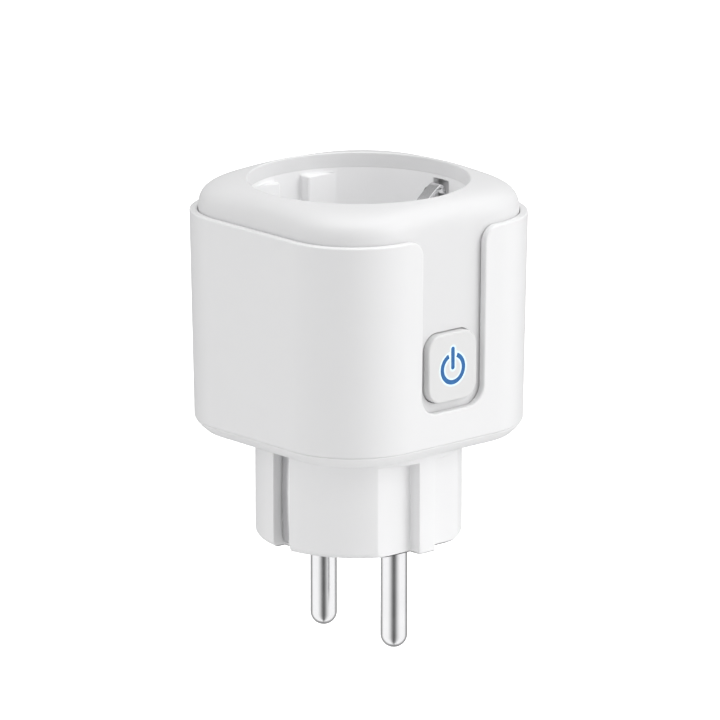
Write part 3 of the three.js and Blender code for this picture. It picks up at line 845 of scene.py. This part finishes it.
def strip_outline(path, thickness):
    """Outline of a strip that follows a path in X and Z."""
    left, right = [], []
    for i, point in enumerate(path):
        along = (path[min(i + 1, len(path) - 1)] - path[max(i - 1, 0)]).normalized()
        across = Vector((-along.y, along.x)) * thickness / 2
        left.append(point + across)
        right.append(point - across)
    return [*right, *reversed(left)]


def build_strip(name, node, path, side, thickness, half_width):
    outline = strip_outline(smooth_path([(side * x, z) for x, z in path]), thickness)
    strip = prism(name, outline, -half_width, half_width, "y")
    round_edges(strip, 0.1, segments=2, sharper_than=50)
    finish_piece(strip, "nickel", "adapter", node)


# Centre lines as (distance out from the axis, z): a gently bowed strip in the nose's recess, and a clip
# that leans into the well and hooks back to its wall.
PLUG_EARTH_PATH = [
    (15.95, 0.7), (16.15, 2), (16.3, 5), (16.35, 9), (16.3, 13), (16.2, 17), (16.2, 23.3),
]
CLIP_PATH = [
    (20.3, 42.6), (20.3, 47.6), (17.4, 53), (15, 56.9),
    (15.2, 58.2), (18.1, 60.5), (19, 60.5), (19.5, 59.4),
]


# ---- Button and its symbol ----
def icon_strokes(clearance, y0, y1):
    """The power symbol's open ring and its bar, each wider by the clearance all round."""
    opening = math.degrees(math.asin((ICON_GAP_HALF - clearance) / ICON_RADIUS))
    start, end = 90 + opening, 450 - opening
    outline = arc(0, ICON_Z, ICON_RADIUS + ICON_HALF + clearance, start, end, 64)
    outline += arc(0, ICON_Z, ICON_RADIUS - ICON_HALF - clearance, end, start, 64)
    middle, half = (ICON_BAR_TOP + ICON_BAR_BOTTOM) / 2, (ICON_BAR_TOP - ICON_BAR_BOTTOM) / 2
    width = ICON_HALF + clearance
    bar = rounded_rectangle(width, half + clearance, width * 0.98, 0, ICON_Z + middle, 8)
    return [prism("ring", outline, y0, y1, "y"), prism("bar", bar, y0, y1, "y")]


def build_button():
    """The cap with the symbol cut through its face, and the light guide that fills the cut."""
    def ring(inset, y):
        outline = rounded_rectangle(
            BUTTON_HALF_X - inset, BUTTON_HALF_Z - inset, BUTTON_RADIUS - inset, 0, BUTTON_Z, 14
        )
        return [(x, y, z) for x, z in outline]

    rings = [
        ring(-BUTTON_FLANGE, BUTTON_BACK_Y),
        ring(-BUTTON_FLANGE, BUTTON_FLANGE_Y),
        ring(0, BUTTON_FLANGE_Y),
    ]
    for inset, depth in arc(BUTTON_EDGE, BUTTON_EDGE, BUTTON_EDGE, 180, 270, 8):
        rings.append(ring(inset, BUTTON_FACE_Y + depth))
    button = loft("button", rings)
    pocket = rod_along_y(
        "pocket", BUTTON_POCKET_RADIUS, 0, BUTTON_Z, BUTTON_FACE_Y + 1, BUTTON_BACK_Y + 1
    )
    carve(button, pocket, *icon_strokes(SEAM, BUTTON_FACE_Y - 1, BUTTON_FACE_Y + 1.5))
    round_edges(button, 0.03, segments=1, sharper_than=50)
    finish_piece(button, "button_white", "button", "button_cap")

    front = BUTTON_FACE_Y + ICON_DISC_DEPTH
    guide = rod_along_y("symbol", ICON_DISC_RADIUS, 0, BUTTON_Z, front, front + 1)
    post = rod_along_y("post", ICON_POST_RADIUS, 0, BUTTON_Z, front + 0.5, ICON_POST_END_Y, 32)
    weld(guide, post, *icon_strokes(0, BUTTON_FACE_Y, front + 0.5))
    round_edges(guide, 0.03, segments=1, sharper_than=50)
    finish_piece(guide, "icon_blue", "button", "icon_light_guide")


build_sleeve()
build_housing()
build_well()
build_base()
build_pin("front_pin", "line_pin", -PIN_PLACE)
build_pin("back_pin", "neutral_pin", PIN_PLACE)
for word, side in (("left", -1), ("right", 1)):
    build_strip(
        f"plug_earth_strip_{word}", f"plug_earth_contact_{word}", PLUG_EARTH_PATH, side,
        thickness=0.45, half_width=1.8,
    )
    build_strip(
        f"earth_clip_{word}", f"socket_earth_clip_{word}", CLIP_PATH, side,
        thickness=0.7, half_width=1.3,
    )
build_button()

# ---- Carried-over CAD parts ----
for part in frame["record"]["subparts"]:
    if part["node"] not in rebuilt:
        for holder in frame["nodes"][part["node"]].material_slots:
            holder.material = MATERIALS[part["material_slot"]]
